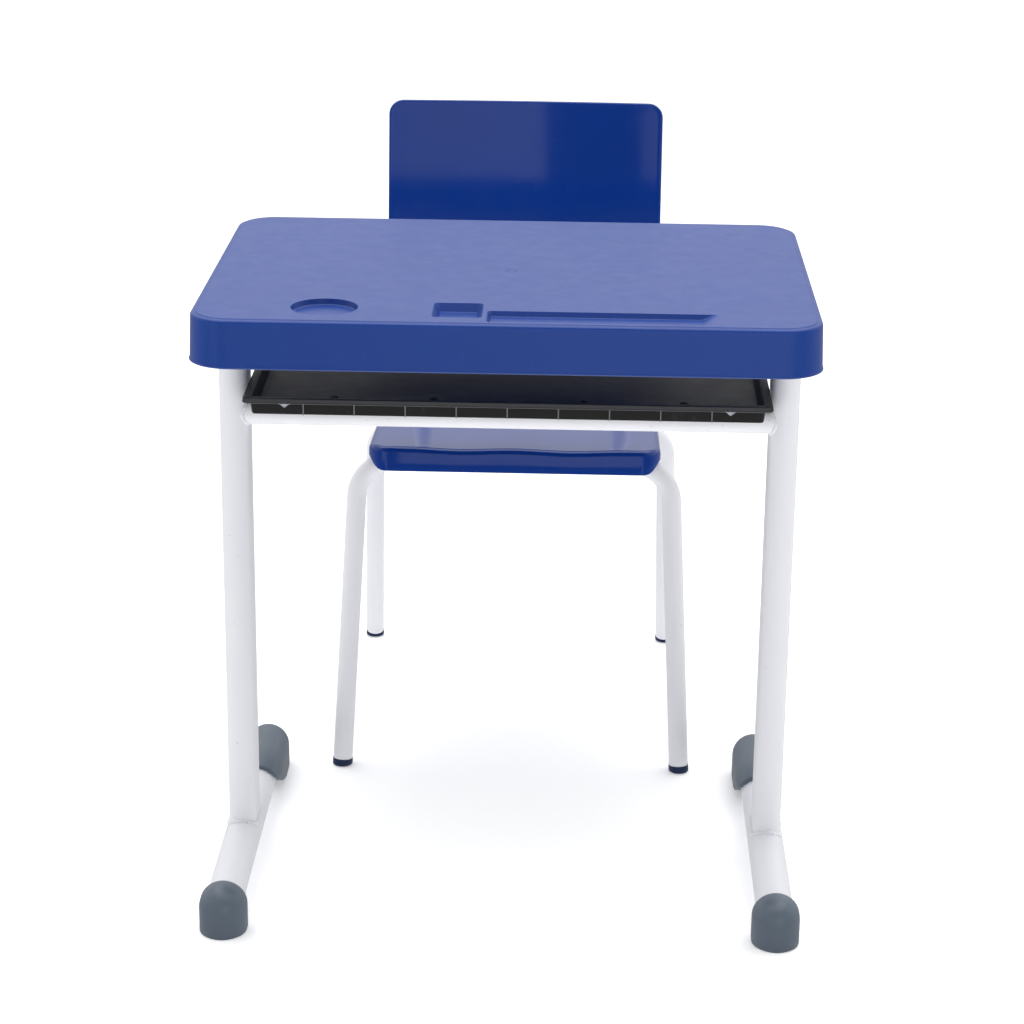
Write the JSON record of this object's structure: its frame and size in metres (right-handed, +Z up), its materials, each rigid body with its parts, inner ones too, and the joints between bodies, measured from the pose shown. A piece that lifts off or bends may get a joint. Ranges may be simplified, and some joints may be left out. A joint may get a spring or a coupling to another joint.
{
  "type": "student desk and chair set",
  "caption": "School desk with a one-piece plastic top, book tray and white tube frame on capped feet, with its matching plastic-shell chair on tube legs.",
  "frame": {"origin": "middle of the whole set's footprint, on the floor", "axes": "+X across the desk, +Y from the desk's front edge towards the chair, +Z up; left and right are as seen looking along +Y"},
  "size_m": [0.6104, 0.8954, 0.7045],
  "materials": {
    "desk_blue": "satin moulded plastic with a fine texture",
    "chair_blue": "glossy moulded plastic",
    "plug_blue": "matte moulded plastic",
    "frame_white": "semi-gloss powder coat on steel tube",
    "cap_grey": "matte moulded plastic, lightly scuffed",
    "tray_black": "satin moulded plastic",
    "zinc_steel": "bright zinc plate",
    "rivet_aluminium": "plain pull-rivet aluminium",
    "brass": "knurled and turned"
  },
  "bodies": {
    "desk": {"desktop": "desk_blue", "desktop_inserts": "brass", "desktop_screws": "zinc_steel", "top_rail": "frame_white", "left_top_rail_plug": "tray_black", "right_top_rail_plug": "tray_black", "left_column": "frame_white", "right_column": "frame_white", "left_foot_tube": "frame_white", "right_foot_tube": "frame_white", "left_heel_cap": "cap_grey", "right_heel_cap": "cap_grey", "left_toe_cap": "cap_grey", "right_toe_cap": "cap_grey", "tray_cross_bar": "frame_white", "left_tray_hanger": "frame_white", "right_tray_hanger": "frame_white", "book_tray": "tray_black", "tray_bar_rivets": "tray_black", "tray_hanger_rivets": "rivet_aluminium"},
    "chair": {"front_leg_frame": "frame_white", "rear_leg_frame": "frame_white", "left_seat_back_tube": "frame_white", "right_seat_back_tube": "frame_white", "seat_shell": "chair_blue", "seat_screws": "zinc_steel", "back_shell": "chair_blue", "back_screws": "zinc_steel", "front_left_leg_plug": "plug_blue", "front_right_leg_plug": "plug_blue", "rear_left_leg_plug": "plug_blue", "rear_right_leg_plug": "plug_blue"}
  },
  "joints": [
    {"name": "chair_slide", "type": "slide", "parent": "desk", "child": "chair", "axis": [0, 1, 0], "range_m": [-0.355, 0.45]}
  ]
}
